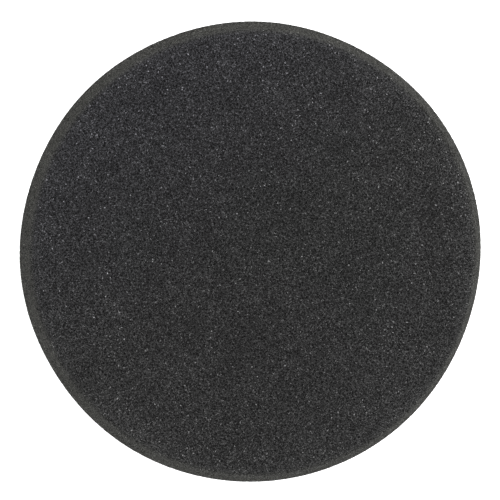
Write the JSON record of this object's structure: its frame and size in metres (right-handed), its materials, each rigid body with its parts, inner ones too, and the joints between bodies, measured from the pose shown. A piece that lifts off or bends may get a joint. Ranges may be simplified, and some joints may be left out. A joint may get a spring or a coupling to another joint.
{
  "type": "polishing pad",
  "caption": "Round black open-cell foam pad with a leaning, rounded side and a loop-fabric backing, for polishing paint with a rotary or orbital machine.",
  "frame": {"origin": "centre of the loop tips, at the bottom of the pad as it lies on its backing", "axes": "+Z along the spindle axis, from the loop backing towards the working face; X and Y are interchangeable, and +Y is up in the view that the pad is seen from"},
  "size_m": [0.15, 0.15, 0.025],
  "materials": {
    "foam": "matte open-cell polyurethane foam",
    "adhesive": "dull hot-melt film",
    "ground_cloth": "knitted nylon ground",
    "loop_yarn": "brushed nylon loops"
  },
  "bodies": {
    "root": {"foam_disc": "foam", "adhesive_film": "adhesive", "loop_ground": "ground_cloth", "loop_pile": "loop_yarn"}
  },
  "joints": []
}
